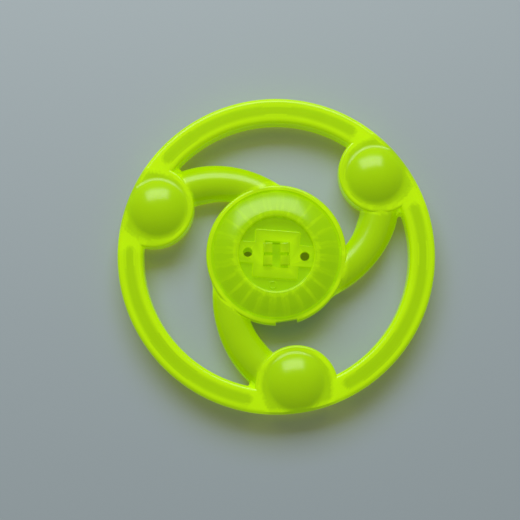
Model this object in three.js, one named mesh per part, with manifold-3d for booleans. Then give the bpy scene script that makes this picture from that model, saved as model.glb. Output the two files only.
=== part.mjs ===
// A hand-held fidget spinner, clipped together from three translucent mouldings.
//   rotor             a ring, three spiral arms with domed knobs and a hub, one open-bottomed shell
//   upper_finger_pad  a crowned cap with a finger recess, ribs underneath and a square socket
//   lower_finger_pad  the same crown, with the journal the rotor turns on and a four-pronged post
// Millimetres, +Z up. The spin axis is the Z axis, and the lower pad stands on z = 0.

import * as THREE from 'three';
import { mergeVertices } from 'three/addons/utils/BufferGeometryUtils.js';
import Module from 'manifold-3d';

const wasm = await Module();
wasm.setup();

// ---- Driving dimensions ----

// rotor
const RING_OUTER_RADIUS = 32.5;
const RING_WIDTH = 5.2;
const ROTOR_HEIGHT = 4.6;
const WALL = 1.0;
const ROOF = 1.0;
const EDGE_ROUND = 0.8;
const RING_CHANNEL_WIDTH = 2.5;
const CHANNEL_END_WALL = 0.6;

// knobs, three of them, each a round cup in the ring with a dome on top
const KNOB_COUNT = 3;
const FIRST_KNOB_ANGLE = 38.7;
const CUP_RADIUS = 8.45;
const CUP_INSET = 5.25;
const CUP_EDGE_ROUND = 0.5;
const DOME_RADIUS = 5.9;
const DOME_RISE = 2.3;
const DOME_INSET = 6.4;

// spiral arms: each lies between two circles, one through the outer edge's ends and one
// through the inner edge's; angles run back from the knob, a bow is an arc's height over chord
const OUTER_EDGE_TIP_ANGLE = 18.7;
const OUTER_EDGE_ROOT_ANGLE = 73.6;
const OUTER_EDGE_BOW = 0.117;
const INNER_EDGE_CUP_ANGLE = 157.1;
const INNER_EDGE_ROOT_ANGLE = 30.6;
const INNER_EDGE_BOW = 0.08;
const ARM_CROWN_RADIUS = 3.9;
const TIP_FILLET = 0.7;
const ROOT_FILLET = 5.0;
const FILL_SINK = 1.2;         // how far a fillet's patch runs into the walls beside it

// hub of the rotor
const HUB_RADIUS = 14.35;
const HUB_WALL = 1.0;
const WEB_THICKNESS = 1.1;
const NOTCH_WIDTH = 4.55;
const NOTCH_ANGLE = 278.6;

// finger pads
const PAD_STAND_OFF = 1.4;
const PAD_GAP = 0.45;
const CROWN_RADIUS = 12.7;
const CROWN_LAND = 1.0;
const CROWN_START_SLOPE = 12;
const PAD_SKIN = 0.9;
const PAD_RIM_WALL = 0.8;
const RECESS_RADIUS = 7.7;
const RECESS_DEPTH = 1.9;
const RECESS_WALL = 0.65;
const RIB_COUNT = 24;
const RIB_THICKNESS = 0.7;
const PIN_HOLE_DIAMETER = 1.95;
const PIN_HOLE_RADIUS = 5.85;
const UPPER_PAD_TURN = -4.5;

// socket in the upper pad, and the post on the lower pad that clips into it
const BLOCK_LENGTH = 9.3;
const BLOCK_WIDTH = 9.9;
const BAR_WIDTH = 4.5;
const BLOCK_HEIGHT = 0.7;
const WINDOW_LENGTH = 5.1;
const WINDOW_WIDTH = 5.3;
const SOCKET_WALL = 0.9;
const WIDE_SLOT = 1.65;
const NARROW_SLOT = 0.6;
const BARB = 0.45;
const BARB_HEIGHT = 0.6;

// clearances
const RUNNING_CLEARANCE = 0.1; // journal in the rotor's bore, on the radius
const END_PLAY = 0.3;          // between the rotor's web and each pad's ribs
const SEAT_GAP = 0.3;          // between pieces that clip or rest on each other

// facets
const RING_SEGMENTS = 72;
const HUB_SEGMENTS = 48;
const CUP_SEGMENTS = 30;
const PIN_SEGMENTS = 12;
const ARC_STEPS = 3;
const DOME_STEPS = 4;
const REACH = 20;              // how far a cutter runs past what it cuts

// ---- Levels worked out from them ----

const ROTOR_BASE = PAD_STAND_OFF;
const ROTOR_TOP = ROTOR_BASE + ROTOR_HEIGHT;
const MID = ROTOR_BASE + ROTOR_HEIGHT / 2;
const WEB_TOP = MID + WEB_THICKNESS / 2;
const PAD_TOP = ROTOR_TOP + PAD_STAND_OFF;
const PAD_BASE = WEB_TOP + END_PLAY;
const FLOOR_TOP = PAD_TOP - RECESS_DEPTH;
const FLOOR_BASE = FLOOR_TOP - PAD_SKIN;
const BLOCK_TOP = FLOOR_TOP + BLOCK_HEIGHT;
const RING_INNER_RADIUS = RING_OUTER_RADIUS - RING_WIDTH;
const HUB_INNER_RADIUS = HUB_RADIUS - HUB_WALL;
const PAD_RADIUS = HUB_INNER_RADIUS - PAD_GAP;
const JOURNAL_RADIUS = RECESS_RADIUS + RECESS_WALL;
const BORE_RADIUS = JOURNAL_RADIUS + RUNNING_CLEARANCE;

// ---- Solids ----

const radians = (degrees) => THREE.MathUtils.degToRad(degrees);
const polar = (radius, degrees) => new THREE.Vector2(
  radius * Math.cos(radians(degrees)),
  radius * Math.sin(radians(degrees)),
);

function solid(geometry) {
  geometry.deleteAttribute('normal');
  geometry.deleteAttribute('uv');
  const merged = mergeVertices(geometry, 1e-4);
  return new wasm.Manifold(new wasm.Mesh({
    numProp: 3,
    vertProperties: Float32Array.from(merged.attributes.position.array),
    triVerts: Uint32Array.from(merged.index.array),
  }));
}

// turned about Z from a profile of (radius, height) points, given outside first, top to bottom
function turned(profile, segments) {
  const geometry = new THREE.LatheGeometry(profile.slice().reverse(), segments);
  geometry.rotateX(Math.PI / 2);
  return solid(geometry);
}

function disc(radius, low, high, segments) {
  const geometry = new THREE.CylinderGeometry(radius, radius, high - low, segments);
  geometry.rotateX(Math.PI / 2);
  geometry.translate(0, 0, (low + high) / 2);
  return solid(geometry);
}

function block(length, width, low, high) {
  const geometry = new THREE.BoxGeometry(length, width, high - low);
  geometry.translate(0, 0, (low + high) / 2);
  return solid(geometry);
}

function raised(shape, low, high, curveSegments = ARC_STEPS) {
  const geometry = new THREE.ExtrudeGeometry(shape, { depth: high - low, bevelEnabled: false, curveSegments });
  geometry.translate(0, 0, low);
  return solid(geometry);
}

const moved = (body, point) => body.translate([point.x, point.y, 0]);
const spun = (body, degrees) => body.rotate([0, 0, degrees]);
const joined = (bodies) => bodies.reduce((whole, body) => whole.add(body));
const around = (count, body) => joined(
  Array.from({ length: count }, (_, i) => spun(body, (360 / count) * i)),
);

function piece(name, body, colour, roughness) {
  const { vertProperties, triVerts } = body.getMesh();
  const geometry = new THREE.BufferGeometry();
  geometry.setAttribute('position', new THREE.BufferAttribute(vertProperties, 3));
  geometry.setIndex(new THREE.BufferAttribute(triVerts, 1));
  geometry.computeVertexNormals();
  const material = new THREE.MeshStandardMaterial({ color: colour, roughness, metalness: 0 });
  const mesh = new THREE.Mesh(geometry, material);
  mesh.name = name;
  return mesh;
}

// points of an arc about (cx, cy), from one angle to another in degrees
function arc(cx, cy, radius, from, to, steps = ARC_STEPS) {
  return Array.from({ length: steps + 1 }, (_, i) => {
    const angle = radians(from + ((to - from) * i) / steps);
    return new THREE.Vector2(cx + radius * Math.cos(angle), cy + radius * Math.sin(angle));
  });
}

// ---- Circles in the plan ----

// the circle through p and q whose arc bows out to the right of the way from p to q
function circleThrough(p, q, bow) {
  const chord = q.clone().sub(p);
  const rise = bow * chord.length();
  const radius = (chord.lengthSq() / 4 + rise * rise) / (2 * rise);
  const left = new THREE.Vector2(-chord.y, chord.x).normalize();
  const centre = p.clone().add(q).multiplyScalar(0.5).addScaledVector(left, radius - rise);
  return { centre, radius };
}

// where two circles cross, on the left of the way from a's centre to b's
function crossing(a, b) {
  const way = b.centre.clone().sub(a.centre);
  const apart = way.length();
  const along = (a.radius ** 2 - b.radius ** 2 + apart ** 2) / (2 * apart);
  const aside = Math.sqrt(a.radius ** 2 - along ** 2);
  way.normalize();
  const left = new THREE.Vector2(-way.y, way.x);
  return a.centre.clone().addScaledVector(way, along).addScaledVector(left, aside);
}

// fills the corner between disc a and circle b with a fillet; b is a disc at side 1, a hole at side -1
function cornerFill(a, b, side, fillet, low, high) {
  const grown = (circle, by) => ({ centre: circle.centre, radius: circle.radius + by });
  const corner = crossing(a, b);
  const middle = crossing(grown(a, fillet), grown(b, side * fillet));
  const into = (circle, sign) => circle.centre.clone().sub(middle).setLength(sign * (fillet + FILL_SINK)).add(middle);
  const sunk = corner.clone().sub(middle);
  sunk.setLength(sunk.length() + FILL_SINK).add(middle);
  const patch = raised(new THREE.Shape([sunk, into(a, 1), middle, into(b, side)]), low, high);
  return patch.subtract(moved(disc(fillet, low - 1, high + 1, CUP_SEGMENTS), middle));
}

// ---- Rotor ----

const origin = new THREE.Vector2(0, 0);
const knobAngle = FIRST_KNOB_ANGLE;
const cupCentre = polar(RING_OUTER_RADIUS - CUP_INSET, knobAngle);
const domeCentre = polar(RING_OUTER_RADIUS - DOME_INSET, knobAngle);

const outerEdge = circleThrough(
  polar(HUB_RADIUS, knobAngle - OUTER_EDGE_ROOT_ANGLE),
  polar(RING_INNER_RADIUS, knobAngle - OUTER_EDGE_TIP_ANGLE),
  OUTER_EDGE_BOW,
);
const innerEdge = circleThrough(
  polar(HUB_RADIUS, knobAngle - INNER_EDGE_ROOT_ANGLE),
  polar(CUP_RADIUS, knobAngle - INNER_EDGE_CUP_ANGLE).add(cupCentre),
  INNER_EDGE_BOW,
);

// a flat-topped turned solid with its outer top edge rounded, closed on the axis
const roundedDisc = (radius, top, round, segments) => turned([
  new THREE.Vector2(0, top),
  ...arc(radius - round, top - round, round, 90, 0),
  new THREE.Vector2(radius, ROTOR_BASE),
  new THREE.Vector2(0, ROTOR_BASE),
], segments);

// an upright ring with both top edges rounded
const roundedRing = (outer, inner, round, segments) => turned([
  ...arc(inner + round, ROTOR_TOP - round, round, 180, 90),
  ...arc(outer - round, ROTOR_TOP - round, round, 90, 0),
  new THREE.Vector2(outer, ROTOR_BASE),
  new THREE.Vector2(inner, ROTOR_BASE),
  new THREE.Vector2(inner, ROTOR_TOP - round),
], segments);

// the plan of an arm, from inside the hub's wall to the middle of the cup, walls moved in by inset
function armPlan(inset, low, high) {
  const toRoot = polar(HUB_INNER_RADIUS, knobAngle - OUTER_EDGE_ROOT_ANGLE - 20).sub(innerEdge.centre);
  const toCup = cupCentre.clone().sub(innerEdge.centre);
  const far = outerEdge.radius + innerEdge.radius;
  const sector = new THREE.Shape([
    origin,
    toRoot.setLength(far).clone(),
    polar(far, radians(0) + THREE.MathUtils.radToDeg((toRoot.angle() - 2 * Math.PI + toCup.angle()) / 2)),
    toCup.setLength(far).clone(),
  ]);
  return moved(disc(outerEdge.radius - inset, low, high, RING_SEGMENTS), outerEdge.centre)
    .subtract(moved(disc(innerEdge.radius + inset, low - 1, high + 1, HUB_SEGMENTS), innerEdge.centre))
    .intersect(moved(raised(sector, low, high), innerEdge.centre));
}

// the half-round back of an arm, turned about the middle of the two edge circles
function armBack(thickness) {
  const middle = outerEdge.centre.clone().add(innerEdge.centre).multiplyScalar(0.5);
  const path = (outerEdge.radius + innerEdge.radius) / 2;
  const radius = ARM_CROWN_RADIUS - thickness;
  const level = ROTOR_TOP - ARM_CROWN_RADIUS;
  return moved(turned([
    new THREE.Vector2(path - radius, ROTOR_BASE - REACH),
    ...arc(path, level, radius, 180, 0, 2 * ARC_STEPS),
    new THREE.Vector2(path + radius, ROTOR_BASE - REACH),
    new THREE.Vector2(path - radius, ROTOR_BASE - REACH),
  ], RING_SEGMENTS), middle);
}

function arm() {
  const hub = { centre: origin, radius: HUB_RADIUS };
  const ringHole = { centre: origin, radius: RING_INNER_RADIUS };
  const shoulder = ROTOR_TOP - ARM_CROWN_RADIUS / 2;
  return joined([
    armPlan(0, ROTOR_BASE, ROTOR_TOP).intersect(armBack(0)),
    cornerFill(outerEdge, hub, 1, ROOT_FILLET, ROTOR_BASE, shoulder),
    cornerFill(outerEdge, ringHole, -1, TIP_FILLET, ROTOR_BASE, shoulder),
  ]);
}

function armHollow() {
  const low = ROTOR_BASE - REACH;
  return armPlan(WALL, low, ROTOR_TOP - ROOF)
    .intersect(armBack(ROOF))
    .subtract(disc(HUB_RADIUS, low - 1, ROTOR_TOP, HUB_SEGMENTS))
    .subtract(moved(disc(CUP_RADIUS, low - 1, ROTOR_TOP, CUP_SEGMENTS), cupCentre))
    .intersect(disc(RING_INNER_RADIUS, low - 1, ROTOR_TOP, RING_SEGMENTS));
}

const domeSphere = (DOME_RADIUS ** 2 + DOME_RISE ** 2) / (2 * DOME_RISE);
const domeLevel = ROTOR_TOP + DOME_RISE - domeSphere;

// a cap of the dome's sphere, as far down as a level
function domeCap(inset, level, foot) {
  const radius = domeSphere - inset;
  const edge = THREE.MathUtils.radToDeg(Math.asin((level - domeLevel) / radius));
  const rim = radius * Math.cos(radians(edge));
  return moved(turned([
    ...arc(0, domeLevel, radius, 90, edge, DOME_STEPS),
    new THREE.Vector2(rim, foot),
    new THREE.Vector2(0, foot),
  ], CUP_SEGMENTS), domeCentre);
}

function knob() {
  const cup = moved(roundedDisc(CUP_RADIUS, ROTOR_TOP, CUP_EDGE_ROUND, CUP_SEGMENTS), cupCentre);
  return cup
    .intersect(roundedDisc(RING_OUTER_RADIUS, ROTOR_TOP, EDGE_ROUND, RING_SEGMENTS))
    .add(domeCap(0, ROTOR_TOP, ROTOR_TOP - ROOF / 2));
}

function knobHollow() {
  const low = ROTOR_BASE - REACH;
  const roof = ROTOR_TOP - ROOF;
  return moved(disc(CUP_RADIUS - WALL, low, roof, CUP_SEGMENTS), cupCentre)
    .intersect(disc(RING_OUTER_RADIUS - WALL, low, roof, RING_SEGMENTS))
    .add(domeCap(WALL, roof, roof - ROOF));
}

// the groove under the ring from one knob to the next, round at both ends
function ringHollow() {
  const path = RING_OUTER_RADIUS - RING_WIDTH / 2;
  const half = RING_CHANNEL_WIDTH / 2;
  const cupDistance = cupCentre.length();
  const clear = CUP_RADIUS + CHANNEL_END_WALL + half;
  const turn = Math.acos((path ** 2 + cupDistance ** 2 - clear ** 2) / (2 * path * cupDistance));
  const from = radians(knobAngle) + turn;
  const to = radians(knobAngle + 360 / KNOB_COUNT) - turn;
  const end = polar(path, THREE.MathUtils.radToDeg(to));
  const start = polar(path, THREE.MathUtils.radToDeg(from));
  const plan = new THREE.Shape();
  plan.absarc(0, 0, path + half, from, to, false);
  plan.absarc(end.x, end.y, half, to, to + Math.PI, false);
  plan.absarc(0, 0, path - half, to, from, true);
  plan.absarc(start.x, start.y, half, from + Math.PI, from + 2 * Math.PI, false);
  return raised(plan, ROTOR_BASE - REACH, ROTOR_TOP - ROOF, HUB_SEGMENTS / 3);
}

function rotor() {
  const low = ROTOR_BASE - REACH;
  const shell = joined([
    roundedRing(RING_OUTER_RADIUS, RING_INNER_RADIUS, EDGE_ROUND, RING_SEGMENTS),
    around(KNOB_COUNT, arm().add(knob())),
    roundedDisc(HUB_RADIUS, ROTOR_TOP, HUB_WALL / 2, HUB_SEGMENTS),
  ]);
  const well = disc(HUB_INNER_RADIUS, low, ROTOR_TOP + REACH, HUB_SEGMENTS);
  const web = disc(HUB_INNER_RADIUS + HUB_WALL / 2, MID - WEB_THICKNESS / 2, WEB_TOP, HUB_SEGMENTS);
  const bore = disc(BORE_RADIUS, low, ROTOR_TOP, HUB_SEGMENTS);
  const notch = block(2 * HUB_WALL, NOTCH_WIDTH, low, ROTOR_TOP + 1)
    .translate([HUB_RADIUS + HUB_WALL / 4, 0, 0]);
  return shell
    .subtract(around(KNOB_COUNT, joined([armHollow(), knobHollow(), ringHollow()])))
    .subtract(well)
    .add(web)
    .subtract(bore)
    .subtract(spun(notch, NOTCH_ANGLE));
}

// ---- Finger pads ----

const crownStart = RECESS_RADIUS + CROWN_LAND;
const crownCentre = new THREE.Vector2(
  crownStart - CROWN_RADIUS * Math.sin(radians(CROWN_START_SLOPE)),
  PAD_TOP - CROWN_RADIUS * Math.cos(radians(CROWN_START_SLOPE)),
);

// points down the crown's arc from one radius to another, its skin taken off by inset
function crownArc(inset, from, to) {
  const radius = CROWN_RADIUS - inset;
  const angleAt = (r) => THREE.MathUtils.radToDeg(Math.acos((r - crownCentre.x) / radius));
  return arc(crownCentre.x, crownCentre.y, radius, angleAt(from), angleAt(to));
}

// the crown, the recess and its floor, as the upper pad lies; the lower one is its mirror image
function padShell() {
  const rimInner = PAD_RADIUS - PAD_RIM_WALL;
  const crown = turned([
    new THREE.Vector2(0, FLOOR_TOP),
    new THREE.Vector2(RECESS_RADIUS, FLOOR_TOP),
    new THREE.Vector2(RECESS_RADIUS, PAD_TOP),
    ...crownArc(0, crownStart, PAD_RADIUS),
    new THREE.Vector2(PAD_RADIUS, PAD_BASE),
    new THREE.Vector2(rimInner, PAD_BASE),
    ...crownArc(PAD_SKIN, JOURNAL_RADIUS, rimInner).reverse(),
    new THREE.Vector2(JOURNAL_RADIUS, FLOOR_BASE),
    new THREE.Vector2(0, FLOOR_BASE),
  ], HUB_SEGMENTS);
  const ribLength = rimInner - JOURNAL_RADIUS + RECESS_WALL;
  const rib = block(ribLength, RIB_THICKNESS, MID, PAD_TOP)
    .translate([JOURNAL_RADIUS + (ribLength - RECESS_WALL / 2) / 2, 0, 0]);
  // the ribs stay under the crown's skin, and clear of the journal's end
  const underCrown = turned([
    new THREE.Vector2(0, PAD_TOP - PAD_SKIN / 2),
    ...crownArc(PAD_SKIN / 2, crownStart, PAD_RADIUS - PAD_RIM_WALL / 2),
    new THREE.Vector2(PAD_RADIUS - PAD_RIM_WALL / 2, PAD_BASE),
    new THREE.Vector2(BORE_RADIUS, PAD_BASE),
    new THREE.Vector2(BORE_RADIUS, FLOOR_BASE),
    new THREE.Vector2(0, FLOOR_BASE),
  ], HUB_SEGMENTS);
  return crown.add(around(RIB_COUNT, rib).intersect(underCrown));
}

function pinHoles() {
  const hole = disc(PIN_HOLE_DIAMETER / 2, -REACH, REACH, PIN_SEGMENTS);
  return hole.translate([PIN_HOLE_RADIUS, 0, 0]).add(hole.translate([-PIN_HOLE_RADIUS, 0, 0]));
}

const socketBase = MID - SEAT_GAP;

function upperPad() {
  const bar = block(2 * JOURNAL_RADIUS, BAR_WIDTH, FLOOR_BASE, BLOCK_TOP)
    .intersect(disc(RECESS_RADIUS + RECESS_WALL / 2, FLOOR_BASE, BLOCK_TOP, HUB_SEGMENTS));
  const socket = block(WINDOW_LENGTH + 2 * SOCKET_WALL, WINDOW_WIDTH + 2 * SOCKET_WALL, socketBase, FLOOR_TOP);
  const pad = joined([
    padShell(),
    block(BLOCK_LENGTH, BLOCK_WIDTH, FLOOR_BASE, BLOCK_TOP),
    bar,
    socket,
  ]);
  const window = block(WINDOW_LENGTH, WINDOW_WIDTH, -REACH, REACH);
  return spun(pad.subtract(window).subtract(pinHoles()), UPPER_PAD_TURN);
}

// one barb: a wedge over the block's top, widest at its foot
function barb(reach, foot, width) {
  const side = new THREE.Shape([
    new THREE.Vector2(0, 0),
    new THREE.Vector2(reach + BARB, 0),
    new THREE.Vector2(reach, BARB_HEIGHT),
    new THREE.Vector2(0, BARB_HEIGHT),
  ]);
  return raised(side, -width / 2, width / 2).rotate([90, 0, 0]).translate([0, 0, foot]);
}

function lowerPad() {
  const floorTop = 2 * MID - FLOOR_BASE;
  const slack = 2 * SEAT_GAP;
  const postLength = WINDOW_LENGTH - slack;
  const postWidth = WINDOW_WIDTH - slack;
  const barbFoot = BLOCK_TOP + SEAT_GAP;
  const postTop = barbFoot + BARB_HEIGHT;
  const slotFoot = floorTop + PAD_SKIN / 2;
  const shell = padShell().mirror([0, 0, 1]).translate([0, 0, 2 * MID]);
  const journal = disc(JOURNAL_RADIUS, floorTop - PAD_SKIN / 2, FLOOR_BASE - SEAT_GAP, HUB_SEGMENTS)
    .subtract(disc(JOURNAL_RADIUS - PAD_RIM_WALL, floorTop, FLOOR_TOP, HUB_SEGMENTS));
  const post = block(postLength, postWidth, floorTop - PAD_SKIN / 2, barbFoot + BARB_HEIGHT / 2);
  const tips = barb(postLength / 2, barbFoot, postWidth);
  const slots = block(WIDE_SLOT, 2 * postWidth, slotFoot, postTop + 1)
    .add(block(2 * postLength, NARROW_SLOT, slotFoot, postTop + 1));
  const prongs = joined([post, tips, spun(tips, 180)]).subtract(slots);
  return joined([shell, journal, prongs]).subtract(pinHoles());
}

// ---- Assembly ----

const spinner = new THREE.Group();
spinner.add(
  piece('rotor', rotor(), 0x9fdc0a, 0.25),
  piece('upper_finger_pad', upperPad(), 0xa6d80c, 0.2),
  piece('lower_finger_pad', lowerPad(), 0x8cc808, 0.25),
);

export default spinner;
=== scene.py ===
import math

import bmesh
import bpy
from mathutils import Matrix, Vector
from mathutils.bvhtree import BVHTree


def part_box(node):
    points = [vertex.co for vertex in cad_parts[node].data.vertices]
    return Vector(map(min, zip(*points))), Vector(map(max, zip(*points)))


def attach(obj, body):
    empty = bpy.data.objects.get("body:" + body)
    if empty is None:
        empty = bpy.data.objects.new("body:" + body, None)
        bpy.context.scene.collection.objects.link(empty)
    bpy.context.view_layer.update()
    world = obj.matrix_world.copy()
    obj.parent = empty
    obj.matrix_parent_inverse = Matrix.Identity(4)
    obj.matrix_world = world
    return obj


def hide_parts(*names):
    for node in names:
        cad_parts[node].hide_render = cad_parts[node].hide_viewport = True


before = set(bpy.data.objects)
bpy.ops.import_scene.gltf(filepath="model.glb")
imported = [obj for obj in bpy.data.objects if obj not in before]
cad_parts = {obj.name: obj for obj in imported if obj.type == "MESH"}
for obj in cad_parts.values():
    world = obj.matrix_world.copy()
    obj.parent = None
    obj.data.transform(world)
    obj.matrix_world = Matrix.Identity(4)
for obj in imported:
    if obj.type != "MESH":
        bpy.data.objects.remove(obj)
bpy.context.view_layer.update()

# ---- Lower finger pad ----
# The pad that the spinner stands on, one injection moulding in translucent fluorescent polystyrene.
# It carries the journal that the rotor turns on and the slotted post, four prongs with barbs, that
# clips it to the upper pad. Thin ribs under its crown stiffen the skin.

mm = 0.001
foot_low, foot_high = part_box("lower_finger_pad")
cap_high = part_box("upper_finger_pad")[1]

pad_radius = foot_high.x
pad_top = cap_high.z
middle = (foot_low.z + cap_high.z) / 2
pad_skin = 0.9 * mm
pad_rim_wall = 0.8 * mm
pad_base = middle + 0.85 * mm
crown_radius = 12.7 * mm
crown_slope = math.radians(12)
recess_radius = 7.7 * mm
crown_start = recess_radius + 1.0 * mm
journal_radius = 8.35 * mm
floor_top = pad_top - 1.9 * mm
floor_base = floor_top - pad_skin
rib_count = 24
rib_thickness = 0.7 * mm
rib_sink = 0.3 * mm
rib_step = 0.1 * mm
pin_radius = 0.975 * mm
pin_circle = 5.85 * mm
pin_steps = 40
seat_gap = 0.3 * mm
window_length = 5.1 * mm
window_width = 5.3 * mm
barb_reach = 0.45 * mm
barb_foot = foot_high.z - 0.6 * mm
post_top = foot_high.z - 0.3 * mm
prong_round = 0.25 * mm
wide_slot = 1.65 * mm
narrow_slot = 0.6 * mm
recess_lip = 0.3 * mm
recess_foot = 0.25 * mm
crisp_edge = 0.15 * mm
weld = 0.001 * mm
corner_steps = 5
turn_doublings = 5
turn_wedges = 2 ** turn_doublings


def rounded(points):
    """The outline with each corner that states a third value rounded to that radius."""
    smooth = []
    for i, (x, y, *radius) in enumerate(points):
        corner = Vector((x, y))
        if not radius:
            smooth.append(corner)
            continue
        back = (Vector(points[i - 1][:2]) - corner).normalized()
        onward = (Vector(points[(i + 1) % len(points)][:2]) - corner).normalized()
        half = back.angle(onward) / 2
        centre = corner + (back + onward).normalized() * radius[0] / math.sin(half)
        start = corner + back * radius[0] / math.tan(half) - centre
        end = corner + onward * radius[0] / math.tan(half) - centre
        for step in range(corner_steps + 1):
            smooth.append(centre + start.slerp(end, step / corner_steps) * radius[0])
    return smooth


def arc(centre, radius, start, end, steps):
    """Points of an arc in an outline, between two angles in radians."""
    turns = [start + (end - start) * step / steps for step in range(steps + 1)]
    return [(centre[0] + radius * math.cos(a), centre[1] + radius * math.sin(a)) for a in turns]


def body(bm):
    """An object in the scene with this bmesh as its closed skin, faces pointing out."""
    bmesh.ops.remove_doubles(bm, verts=bm.verts, dist=weld)
    bmesh.ops.recalc_face_normals(bm, faces=bm.faces)
    mesh = bpy.data.meshes.new("body")
    bm.to_mesh(mesh)
    bm.free()
    made = bpy.data.objects.new("body", mesh)
    bpy.context.scene.collection.objects.link(made)
    return made


def turned(points, steps=96, centre=(0, 0), stretch=2 * mm):
    """A body turned about an upright axis from (radius, height) points, no stretch left longer."""
    bm = bmesh.new()
    corners = [bm.verts.new((centre[0] + r, centre[1], z)) for r, z in rounded(points)]
    pairs = list(zip(corners, corners[1:] + corners[:1]))
    if points[0][0] == 0:
        pairs.pop()
    for edge in [bm.edges.new(pair) for pair in pairs]:
        cuts = int(edge.calc_length() / stretch)
        if cuts:
            bmesh.ops.subdivide_edges(bm, edges=[edge], cuts=cuts)
    # one wedge of the turn is spun, then doubled until the turn is full
    wedge = 2 * math.pi / turn_wedges
    bmesh.ops.spin(
        bm, geom=bm.verts[:] + bm.edges[:], cent=(*centre, 0), axis=(0, 0, 1),
        dvec=(0, 0, 0), angle=wedge, steps=max(1, steps // turn_wedges), use_merge=False,
    )
    for doubling in range(turn_doublings):
        copies = bmesh.ops.duplicate(bm, geom=bm.verts[:] + bm.edges[:] + bm.faces[:])["geom"]
        bmesh.ops.rotate(
            bm, cent=(*centre, 0), matrix=Matrix.Rotation(wedge * 2 ** doubling, 3, "Z"),
            verts=[v for v in copies if isinstance(v, bmesh.types.BMVert)],
        )
    return body(bm)


def disc(radius, low, high, steps=96, centre=(0, 0)):
    """A plain upright cylinder, to cut with or to keep within."""
    return turned([(0, low), (radius, low), (radius, high), (0, high)], steps, centre)


def slab(points, low, high, edge_round=0.0):
    """A flat body raised from its plan, its top and bottom edges rounded."""
    bm = bmesh.new()
    plan = bm.faces.new([bm.verts.new((x, y, low)) for x, y in rounded(points)])
    raised = bmesh.ops.extrude_face_region(bm, geom=[plan])["geom"]
    tops = [v for v in raised if isinstance(v, bmesh.types.BMVert)]
    bmesh.ops.translate(bm, vec=(0, 0, high - low), verts=tops)
    if edge_round:
        level = [e for e in bm.edges if abs(e.verts[0].co.z - e.verts[1].co.z) < 0.01 * mm]
        bmesh.ops.bevel(
            bm, geom=level, offset=edge_round, offset_type="OFFSET", segments=3, profile=0.5,
            affect="EDGES", clamp_overlap=True, material=-1,
        )
    return body(bm)


def block(length, width, low, high, centre=(0, 0), edge_round=0.0, corner=0.0):
    """A slab with an oblong plan."""
    x, y = centre
    soft = [corner] if corner else []
    return slab([
        (x - length / 2, y - width / 2, *soft), (x + length / 2, y - width / 2, *soft),
        (x + length / 2, y + width / 2, *soft), (x - length / 2, y + width / 2, *soft),
    ], low, high, edge_round)


def spun(piece, angle):
    """The body turned about the spin axis."""
    piece.data.transform(Matrix.Rotation(angle, 4, "Z"))
    return piece


def around(count, make):
    """Copies of a body, evenly round the spin axis."""
    return [spun(make(), 2 * math.pi * i / count) for i in range(count)]


def shaped(whole, how, *tools):
    """The body joined with, cut by or kept inside others, which are used up."""
    for tool in tools:
        step = whole.modifiers.new(how, "BOOLEAN")
        step.operation = how
        step.solver = "MANIFOLD"
        step.object = tool
    settled = whole.evaluated_get(bpy.context.evaluated_depsgraph_get())
    mesh = bpy.data.meshes.new_from_object(settled)
    whole.modifiers.clear()
    whole.data = mesh
    for tool in tools:
        bpy.data.objects.remove(tool)
    return whole


crown_centre = (
    crown_start - crown_radius * math.sin(crown_slope),
    pad_top - crown_radius * math.cos(crown_slope),
)
rim_inner = pad_radius - pad_rim_wall


def crown_line(inset, near, far, steps=16):
    """Points down the crown's arc from one radius to another, a skin's thickness in."""
    radius = crown_radius - inset
    start, end = (math.acos((r - crown_centre[0]) / radius) for r in (near, far))
    return arc(crown_centre, radius, start, end, steps)


def rib():
    """A thin upright wall from the recess to inside the rim's wall."""
    length = rim_inner - recess_radius
    return block(
        length, rib_thickness, middle, pad_top, (recess_radius + rib_sink + length / 2, 0)
    )


def pad_shell():
    """The crown, the finger recess, its floor and the ribs, as they lie in the upper pad."""
    crown = turned([
        (0, floor_base), (journal_radius, floor_base),
        *crown_line(pad_skin, journal_radius, rim_inner, 8),
        (rim_inner, pad_base), (pad_radius, pad_base, crisp_edge),
        *crown_line(0, crown_start, pad_radius)[::-1],
        (recess_radius, pad_top, recess_lip), (recess_radius, floor_top, recess_foot),
        (0, floor_top),
    ], 360, stretch=0.5 * mm)
    under_crown = turned([
        (0, floor_base + rib_step), (journal_radius + rib_step, floor_base + rib_step),
        (journal_radius + rib_step, pad_base), (rim_inner + rib_sink, pad_base),
        *crown_line(pad_skin / 2, crown_start, rim_inner + rib_sink, 8)[::-1],
        (0, pad_top - pad_skin / 2),
    ])
    first, *others = around(rib_count, rib)
    ribs = shaped(first, "UNION", *others)
    return shaped(crown, "UNION", shaped(ribs, "INTERSECT", under_crown))


def pin_holes():
    """Cutters for the two holes that the moulding's core pins leave."""
    return [
        disc(pin_radius, -mm, 2 * middle + mm, pin_steps, (side * pin_circle, 0))
        for side in (-1, 1)
    ]


lower = pad_shell()
lower.data.transform(Matrix.Translation((0, 0, 2 * middle)) @ Matrix.Scale(-1, 4, (0, 0, 1)))
lower.data.flip_normals()

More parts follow.
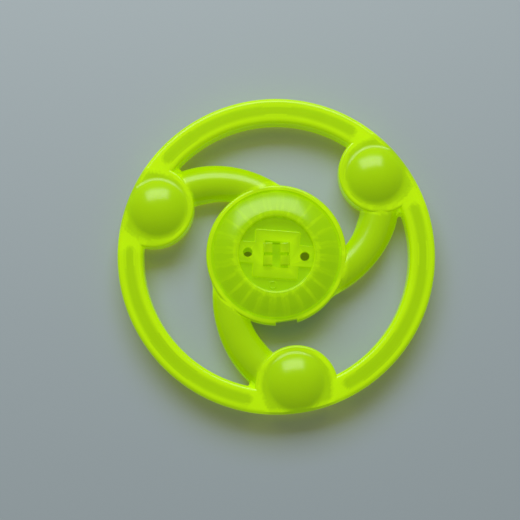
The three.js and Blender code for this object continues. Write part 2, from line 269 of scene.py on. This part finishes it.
foot_floor = 2 * middle - floor_base
journal = turned([
    (journal_radius - pad_rim_wall, foot_floor - pad_skin / 2),
    (journal_radius, foot_floor - pad_skin / 2),
    (journal_radius, floor_base - seat_gap, crisp_edge),
    (journal_radius - pad_rim_wall, floor_base - seat_gap, crisp_edge),
], 160)
post_length = window_length - 2 * seat_gap
post_width = window_width - 2 * seat_gap
post = block(post_length, post_width, foot_floor - pad_skin / 2, post_top, corner=prong_round)
barbs = block(
    post_length + 2 * barb_reach, post_width, barb_foot, foot_high.z, edge_round=prong_round,
)
slot_foot = foot_floor + pad_skin / 2
slots = [
    block(wide_slot, 2 * post_width, slot_foot, foot_high.z + mm),
    block(2 * post_length, narrow_slot, slot_foot, foot_high.z + mm),
]
shaped(post, "UNION", barbs)
shaped(post, "DIFFERENCE", *slots)
shaped(lower, "UNION", journal, post)
shaped(lower, "DIFFERENCE", *pin_holes())


# the thickness noted here is the mask for the painted glow on thick walls and the painted shade on thin
# skins
def note_walls(piece, reach=4.6 * mm, spread=0.45, start=0.02 * mm):
    """Gives each point the thickness of the plastic behind it, from 0 to 1 of the reach."""
    bm = bmesh.new()
    bm.from_mesh(piece.data)
    inside = BVHTree.FromBMesh(bm)
    walls = piece.data.attributes.new("wall", "FLOAT", "POINT")
    for vertex in bm.verts:
        inward = -vertex.normal
        aside = inward.orthogonal()
        across = inward.cross(aside)
        leans = (aside * 0, aside, -aside, across, -across)
        depth = 0
        for lean in leans:
            way = (inward + lean * spread).normalized()
            hit = inside.ray_cast(vertex.co + inward * start, way, reach)
            depth += hit[3] if hit[0] else reach
        walls.data[vertex.index].value = depth / len(leans) / reach
    bm.free()


def finished(piece, name, smooth=32):
    """A settled body under its own name, soft shaded up to an angle, with its walls noted."""
    piece.name = name
    piece.data.name = name
    bm = bmesh.new()
    bm.from_mesh(piece.data)
    bmesh.ops.remove_doubles(bm, verts=bm.verts, dist=2 * weld)
    bmesh.ops.dissolve_degenerate(bm, edges=bm.edges, dist=2 * weld)
    for face in bm.faces:
        face.smooth = True
    bm.to_mesh(piece.data)
    bm.free()
    piece.data.materials.clear()
    piece.data.set_sharp_from_angle(angle=math.radians(smooth))
    even = piece.modifiers.new("even_shading", "WEIGHTED_NORMAL")
    even.keep_sharp = True
    note_walls(piece)
    return piece


def linear(code):
    """An sRGB hex colour as linear red, green, blue and alpha."""
    parts = [int(code[i:i + 2], 16) / 255 for i in (0, 2, 4)]
    return [p / 12.92 if p <= 0.04045 else ((p + 0.055) / 1.055) ** 2.4 for p in parts] + [1]


def add(tree, kind, settings=None, **inputs):
    """A node with its settings, and each input, by name or as i and its number, set or linked."""
    node = tree.nodes.new(kind)
    for name, value in (settings or {}).items():
        setattr(node, name, value)
    for name, value in inputs.items():
        numbered = name[0] == "i" and name[1:].isdigit()
        socket = node.inputs[int(name[1:]) if numbered else name.replace("_", " ")]
        if isinstance(value, bpy.types.NodeSocket):
            tree.links.new(value, socket)
        else:
            socket.default_value = value
    return node


def fluorescent_polystyrene(name, deep, bright, painted_glow_strength, clearness):
    """Polystyrene, injection moulded and polished, with a dye that turns blue light yellow-green.

    Its colour paints light and shade. Thick walls are painted bright and yellow as a painted glow of
    light carried in the plastic. Thin skins over a hollow are painted deeper and greener as painted
    shade of the floor's shadow under them. deep is the painted shade's colour and bright the painted
    glow's colour.
    """
    material = bpy.data.materials.new(name)
    material.use_nodes = True
    tree = material.node_tree
    tree.nodes.clear()
    behind = add(tree, "ShaderNodeAttribute", {"attribute_name": "wall"}).outputs["Fac"]
    place = add(tree, "ShaderNodeTexCoord").outputs["Object"]
    # slow swirls of the melt, about 4 mm across
    flow = add(tree, "ShaderNodeTexNoise", Vector=place, Scale=250.0, Detail=2.0, Roughness=0.5)
    # painted light: thick walls are lifted towards the bright colour as a painted glow, and thin skins
    # over hollows fall to the deep colour as painted shade
    painted_glow_and_shade_mask = add(
        tree, "ShaderNodeMapRange", {"interpolation_type": "SMOOTHSTEP"},
        Value=behind, From_Min=0.18, From_Max=0.75,
    ).outputs["Result"]
    # the melt's random swirls added to the painted glow and shade
    swirl_and_painted_glow_mix = add(
        tree, "ShaderNodeMath", {"operation": "MULTIPLY_ADD"},
        i0=flow.outputs["Fac"], i1=0.16, i2=painted_glow_and_shade_mask,
    ).outputs["Value"]
    # the dye's colour with the painted glow and painted shade mixed in
    colour_with_painted_glow_and_shade = add(
        tree, "ShaderNodeMix", {"data_type": "RGBA", "clamp_factor": True},
        i0=swirl_and_painted_glow_mix, i6=linear(deep), i7=linear(bright),
    ).outputs[2]
    # the polish of the tool, with a ripple about 0.4 mm across that shows in reflections
    ripple = add(tree, "ShaderNodeTexNoise", Vector=place, Scale=2500.0, Detail=2.0)
    bump = add(
        tree, "ShaderNodeBump", Height=ripple.outputs["Fac"], Strength=0.05, Distance=0.05 * mm,
    )
    gloss = add(
        tree, "ShaderNodeMapRange", Value=flow.outputs["Fac"], To_Min=0.17, To_Max=0.25,
    ).outputs["Result"]
    # the emission is a painted glow in the plastic's colour, lighting it evenly though it is no lamp
    plastic = add(
        tree, "ShaderNodeBsdfPrincipled", Base_Color=colour_with_painted_glow_and_shade, Roughness=gloss, IOR=1.59,
        Normal=bump.outputs["Normal"], Emission_Color=colour_with_painted_glow_and_shade, Emission_Strength=painted_glow_strength,
        Specular_IOR_Level=0.24,
    )
    # light that goes through takes the dye's colour on to the floor, and more of it goes
    # through to the shadow than to the eye
    through = add(tree, "ShaderNodeBsdfTransparent", Color=linear("F6F200"))
    shadow = add(tree, "ShaderNodeLightPath").outputs["Is Shadow Ray"]
    share = add(
        tree, "ShaderNodeMapRange", Value=shadow, To_Min=clearness, To_Max=0.8,
    ).outputs["Result"]
    skin = add(
        tree, "ShaderNodeMixShader", i0=share, i1=plastic.outputs["BSDF"],
        i2=through.outputs["BSDF"],
    )
    add(tree, "ShaderNodeOutputMaterial", Surface=skin.outputs["Shader"])
    return material


# the pads' plastic, with painted glow and painted shade in its colour
pad_plastic = fluorescent_polystyrene("pad_polystyrene_painted_glow", "88B600", "AEDA00", 0.38, 0.38)

lower_pad = finished(lower, "lower_pad_moulding")
lower_pad.data.materials.append(pad_plastic)
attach(lower_pad, "finger_pads")
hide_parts("lower_finger_pad")

# ---- Rotor ----
# A ring, three spiral arms with domed knobs and the hub between the pads, moulded in one shot as an
# open-bottomed shell. It drops over the lower pad's journal and turns on it.

rotor_low, rotor_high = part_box("rotor")

ring_radius = rotor_high.x
ring_width = 5.2 * mm
ring_inner = ring_radius - ring_width
ring_round = 0.9 * mm
dome_rise = 2.3 * mm
dome_radius = 5.9 * mm
rotor_base = rotor_low.z
rotor_top = rotor_high.z - dome_rise
wall = 1.0 * mm
roof = 1.0 * mm
# the cutters of the hollows reach down to here, well below the rotor's open underside
cut_low = rotor_base - 20 * mm
knob_turn = math.radians(38.7)
cup_radius = 8.45 * mm
cup_distance = ring_radius - 5.25 * mm
dome_distance = ring_radius - 6.4 * mm
hub_radius = 14.35 * mm
hub_inner = hub_radius - wall
web_thickness = 1.1 * mm
bore_radius = 8.45 * mm
arm_back_radius = 3.9 * mm
root_fillet = 5.0 * mm
tip_fillet = 0.35 * mm
fill_sink = 1.2 * mm
fill_flare = 0.5 * mm
channel_half = 1.25 * mm
channel_end_wall = 0.6 * mm
top_edge = 0.5 * mm
cup_corner = 0.4 * mm
bore_edge = 0.1 * mm
dome_foot_width = 0.8 * mm
dome_foot_radius = 1.9 * mm
dome_foot_angle = 0.1
over_dome_rise = 3 * mm
notch_width = 4.55 * mm
notch_turn = math.radians(278.6)
# where an arm's two edges leave the hub and where they end on the ring and the cup, in degrees
outer_root, outer_tip, outer_bow = -73.6, -18.7, 0.117
inner_root, inner_tip, inner_bow = -30.6, -157.1, 0.08
arm_root = -93.6


def polar(radius, degrees):
    """A point in plan at a distance and an angle from the origin."""
    return Vector((math.cos(math.radians(degrees)), math.sin(math.radians(degrees)))) * radius


def circle_through(start, end, bow):
    """Centre and radius of the arc that bows out to the right of the way from start to end."""
    chord = end - start
    rise = bow * chord.length
    radius = (chord.length_squared / 4 + rise * rise) / (2 * rise)
    left = Vector((-chord.y, chord.x)).normalized()
    return (start + end) / 2 + left * (radius - rise), radius


def crossing(first, second):
    """Where two circles cross, on the left of the way from the first centre to the second."""
    way = second[0] - first[0]
    along = (first[1] ** 2 - second[1] ** 2 + way.length_squared) / (2 * way.length)
    aside = math.sqrt(first[1] ** 2 - along ** 2)
    way.normalize()
    return first[0] + way * along + Vector((-way.y, way.x)) * aside


# every place on an arm is worked out for the knob on the X axis, then turned with it
cup_centre = Vector((cup_distance, 0))
dome_centre = (dome_distance, 0)
outer_edge = circle_through(
    polar(hub_radius, outer_root), polar(ring_inner, outer_tip), outer_bow,
)
inner_edge = circle_through(
    polar(hub_radius, inner_root), cup_centre + polar(cup_radius, inner_tip), inner_bow,
)
arm_centre = (outer_edge[0] + inner_edge[0]) / 2
arm_path = (outer_edge[1] + inner_edge[1]) / 2


def arm_plan(inset, low, high):
    """An arm's plan as an upright slab, from inside the hub's wall to the middle of the cup."""
    root = polar(hub_inner, arm_root) - inner_edge[0]
    tip = cup_centre - inner_edge[0]
    far = outer_edge[1] + inner_edge[1]
    turn = root.angle_signed(tip)
    half_way = root.normalized() * far
    half_way.rotate(Matrix.Rotation(-turn / 2, 2))
    corners = [Vector((0, 0)), root.normalized() * far, half_way, tip.normalized() * far]
    sector = slab([inner_edge[0] + corner for corner in corners], low - mm, high + mm)
    plan = disc(outer_edge[1] - inset, low, high, 320, outer_edge[0])
    hole = disc(inner_edge[1] + inset, low - mm, high + mm, 200, inner_edge[0])
    return shaped(shaped(plan, "DIFFERENCE", hole), "INTERSECT", sector)


def arm_back(thickness):
    """The half-round back of an arm, turned about the middle of its two edge circles."""
    radius = arm_back_radius - thickness
    level = rotor_top - arm_back_radius
    return turned([
        (arm_path - radius, cut_low), (arm_path + radius, cut_low),
        *arc((arm_path, level), radius, 0, math.pi, 28),
    ], 320, arm_centre)


def corner_fill(first, second, side, fillet, low, high):
    """The fillet between the outside of one circle and another, which is a hole at side -1."""
    hollow = crossing((first[0], first[1] + fillet), (second[0], second[1] + side * fillet))
    to_corner = crossing(first, second) - hollow

    def into(circle, sign):
        return hollow + (circle[0] - hollow).normalized() * sign * (fillet + fill_sink)

    deep = hollow + to_corner.normalized() * (to_corner.length + fill_sink)
    patch = slab([into(second, side), hollow, into(first, 1), deep], low, high)
    rounding = turned([
        (0, low - mm), (fillet, low - mm), (fillet, high - fill_flare),
        (fillet + fill_flare, high), (fillet + fill_flare, high + mm), (0, high + mm),
    ], 120, hollow)
    return shaped(patch, "DIFFERENCE", rounding)


def arm():
    """One arm with its two fillets."""
    shoulder = rotor_top - arm_back_radius / 2
    hub_edge = (Vector((0, 0)), hub_radius)
    ring_edge = (Vector((0, 0)), ring_inner)
    whole = shaped(arm_plan(0, rotor_base, rotor_top), "INTERSECT", arm_back(0))
    return shaped(
        whole, "UNION",
        corner_fill(outer_edge, hub_edge, 1, root_fillet, rotor_base, shoulder),
        corner_fill(outer_edge, ring_edge, -1, tip_fillet, rotor_base, shoulder),
    )


def arm_hollow():
    """The cutter for an arm's underside, kept clear of the hub, the cup and the ring."""
    hollow = shaped(arm_plan(wall, cut_low, rotor_top - roof), "INTERSECT", arm_back(roof))
    hub_zone = disc(hub_radius, cut_low - mm, rotor_top)
    cup_zone = disc(cup_radius, cut_low - mm, rotor_top, 96, cup_centre)
    within = disc(ring_inner, cut_low - mm, rotor_top, 200)
    shaped(hollow, "DIFFERENCE", hub_zone, cup_zone)
    return shaped(hollow, "INTERSECT", within)


dome_sphere = (dome_radius ** 2 + dome_rise ** 2) / (2 * dome_rise)
dome_level = rotor_top + dome_rise - dome_sphere


def dome(inset, foot, shoulder):
    """A cap of the dome's sphere down to the rotor's top, with a soft turn at its foot."""
    radius = dome_sphere - inset
    edge = math.asin((shoulder - dome_level) / radius)
    rim = radius * math.cos(edge)
    return turned([
        (0, foot), (rim + dome_foot_width, foot), (rim + dome_foot_width, shoulder),
        (rim, shoulder, dome_foot_radius),
        *arc((0, dome_level), radius, edge + dome_foot_angle, math.pi / 2, 20)[:-1],
        (0, dome_level + radius),
    ], 120, dome_centre, stretch=0.5 * mm)


def knob():
    """The cup with its dome, cut to the ring's rounded outline."""
    cup = turned([
        (0, rotor_base), (cup_radius, rotor_base, crisp_edge), (cup_radius, rotor_top, top_edge),
        (0, rotor_top),
    ], 160, cup_centre, stretch=0.4 * mm)
    shoulder = (ring_radius - ring_round, rotor_top - ring_round)
    slope = arc(shoulder, ring_round, 0, math.pi / 4, 4)
    over_dome = (slope[-1][0] - over_dome_rise, slope[-1][1] + over_dome_rise)
    within = turned([
        (0, rotor_base - mm), (ring_radius, rotor_base - mm), *slope, over_dome,
        (0, over_dome[1]),
    ], 480)
    shaped(cup, "UNION", dome(0, rotor_top - roof / 2, rotor_top))
    return shaped(cup, "INTERSECT", within)


def knob_hollow():
    """The cutter for a cup's underside and the inside of its dome, a wall in from the outline."""
    high = rotor_top - roof
    radius = cup_radius - wall
    hollow = turned(
        [(0, cut_low), (radius, cut_low), (radius, high, cup_corner), (0, high)], 120, cup_centre,
    )
    within = disc(ring_radius - wall, cut_low - mm, high + mm, 320)
    return shaped(shaped(hollow, "INTERSECT", within), "UNION", dome(wall, high - roof, high))


def ring_channel():
    """The groove under the ring from one knob to the next, round at both ends."""
    path = ring_radius - ring_width / 2
    clear = cup_radius + channel_end_wall + channel_half
    turn = math.acos((path ** 2 + cup_distance ** 2 - clear ** 2) / (2 * path * cup_distance))
    start, end = turn, 2 * math.pi / 3 - turn
    ends = [path * Vector((math.cos(a), math.sin(a))) for a in (start, end)]
    outline = [
        *arc((0, 0), path + channel_half, start, end, 80),
        *arc(ends[1], channel_half, end, end + math.pi, 12)[1:-1],
        *arc((0, 0), path - channel_half, end, start, 80),
        *arc(ends[0], channel_half, start + math.pi, start + 2 * math.pi, 12)[1:-1],
    ]
    return slab(outline, cut_low, rotor_top - roof)


rotor = turned([
    (ring_inner, rotor_base, crisp_edge), (ring_radius, rotor_base, crisp_edge),
    (ring_radius, rotor_top, ring_round), (ring_inner, rotor_top, ring_round),
], 480, stretch=0.3 * mm)
hub = turned([
    (0, rotor_base), (hub_radius, rotor_base, crisp_edge), (hub_radius, rotor_top, top_edge),
    (0, rotor_top),
], 240, stretch=0.5 * mm)
arms = around(3, arm)
knobs = around(3, knob)
shaped(rotor, "UNION", hub, *arms, *knobs)
cutters = [around(3, make) for make in (arm_hollow, knob_hollow, ring_channel)]
shaped(rotor, "DIFFERENCE", *sum(cutters, []))
well = disc(hub_inner, rotor_base - mm, rotor_top + mm, 240)
shaped(rotor, "DIFFERENCE", well)
web = turned([
    (bore_radius, middle - web_thickness / 2, bore_edge),
    (hub_inner + wall / 2, middle - web_thickness / 2),
    (hub_inner + wall / 2, middle + web_thickness / 2),
    (bore_radius, middle + web_thickness / 2, bore_edge),
], 240)
shaped(rotor, "UNION", web)
spun(rotor, knob_turn)
notch = block(2 * wall, notch_width, rotor_base - mm, rotor_top + mm, (hub_radius + wall / 4, 0))
shaped(rotor, "DIFFERENCE", spun(notch, notch_turn))

# the rotor's plastic, with painted glow and painted shade in its colour
rotor_plastic = fluorescent_polystyrene("rotor_polystyrene_painted_glow", "8EB800", "AEDA00", 0.38, 0.28)
rotor_moulding = finished(rotor, "rotor_moulding")
rotor_moulding.data.materials.append(rotor_plastic)
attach(rotor_moulding, "rotor")
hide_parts("rotor")

# ---- Upper finger pad ----
# The cap that the thumb presses, with the same crown, recess and ribs as the lower pad. A raised
# block with a square socket takes the post's prongs, which snap over its edge.

block_length = 9.3 * mm
block_width = 9.9 * mm
bar_width = 4.5 * mm
block_top = floor_top + 0.7 * mm
block_edge = 0.2 * mm
block_corner = 0.5 * mm
bar_sink = 0.3 * mm
socket_wall = 0.9 * mm
socket_top = floor_top - 0.1 * mm
witness_inner = 0.55 * mm
witness_outer = 0.85 * mm
witness_rise = 0.28 * mm
witness_round = 0.1 * mm
witness_place = (-0.25 * mm, -6.3 * mm)
pad_turn = math.radians(-4.5)

upper = pad_shell()
bar = block(2 * journal_radius, bar_width, floor_base, block_top, edge_round=crisp_edge)
bar_ends = disc(recess_radius + bar_sink, floor_base - mm, block_top + mm, 160)
shaped(bar, "INTERSECT", bar_ends)
seat = block(
    block_length, block_width, floor_base, block_top, edge_round=block_edge, corner=block_corner,
)
socket = block(
    window_length + 2 * socket_wall, window_width + 2 * socket_wall, middle - seat_gap, socket_top,
)
shaped(upper, "UNION", bar, seat, socket)
# the small raised ring that an ejector pin leaves on the recess floor
witness = turned([
    (witness_inner, floor_top - 0.2 * mm), (witness_outer, floor_top - 0.2 * mm),
    (witness_outer, floor_top + witness_rise, witness_round),
    (witness_inner, floor_top + witness_rise, witness_round),
], pin_steps, witness_place)
shaped(upper, "UNION", witness)
window = block(window_length, window_width, middle - 3 * mm, block_top + mm)
shaped(upper, "DIFFERENCE", window, *pin_holes())
spun(upper, pad_turn)

upper_pad = finished(upper, "upper_pad_moulding")
upper_pad.data.materials.append(pad_plastic)
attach(upper_pad, "finger_pads")
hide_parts("upper_finger_pad")

# ---- Floor, light and camera ----
# A pale table a hair under the pad, a large soft window to the north and a room's soft light.

floor_gap = 0.02 * mm
floor_sheet = bmesh.new()
bmesh.ops.create_grid(floor_sheet, x_segments=1, y_segments=1, size=2)
bmesh.ops.translate(floor_sheet, vec=(0, 0, -floor_gap), verts=floor_sheet.verts)
floor = body(floor_sheet)
floor.name = "floor"
painted = bpy.data.materials.new("matt_painted_board")
painted.use_nodes = True
board = painted.node_tree.nodes["Principled BSDF"]
board.inputs["Base Color"].default_value = linear("9AA5A8")
board.inputs["Roughness"].default_value = 0.6
floor.data.materials.append(painted)

spinner_centre = Vector((0, 0, middle))


def lamp(name, azimuth, elevation, distance, width, height, power, colour):
    """A flat soft lamp that faces the spinner; azimuth runs clockwise from the north."""
    data = bpy.data.lights.new(name, "AREA")
    data.shape = "RECTANGLE"
    data.size = width
    data.size_y = height
    data.energy = power
    data.color = linear(colour)[:3]
    made = bpy.data.objects.new(name, data)
    a, e = math.radians(azimuth), math.radians(elevation)
    way = Vector((math.sin(a) * math.cos(e), math.cos(a) * math.cos(e), math.sin(e)))
    made.location = spinner_centre + way * distance
    made.rotation_mode = "QUATERNION"
    made.rotation_quaternion = way.to_track_quat("Z", "Y")
    bpy.context.scene.collection.objects.link(made)


lamp("window", -8, 43, 0.6, 0.6, 0.32, 4.2, "FFFFFF")

world = bpy.data.worlds.new("room")
world.use_nodes = True
world.node_tree.nodes["Background"].inputs["Color"].default_value = linear("E8EEF2")
world.node_tree.nodes["Background"].inputs["Strength"].default_value = 0.27
bpy.context.scene.world = world
bpy.context.scene.view_settings.view_transform = "Standard"
bpy.context.scene.cycles.use_denoising = True

camera_data = bpy.data.cameras.new("camera")
camera_data.sensor_width = 36
camera_data.lens = 85
camera = bpy.data.objects.new("camera", camera_data)
bpy.context.scene.collection.objects.link(camera)
bpy.context.scene.camera = camera
# the camera looks down from 84 degrees, and the view is this wide at the spinner's middle
tilt = math.radians(84)
view_width = 106.964 * mm
distance = view_width * camera_data.lens / camera_data.sensor_width
aim = Vector((-3.33234 * mm, -0.92565 * mm, middle))
back = Vector((0, -math.cos(tilt), math.sin(tilt)))
camera.location = aim + back * distance
camera.rotation_mode = "QUATERNION"
camera.rotation_quaternion = back.to_track_quat("Z", "Y")
camera_data.clip_start = 0.01
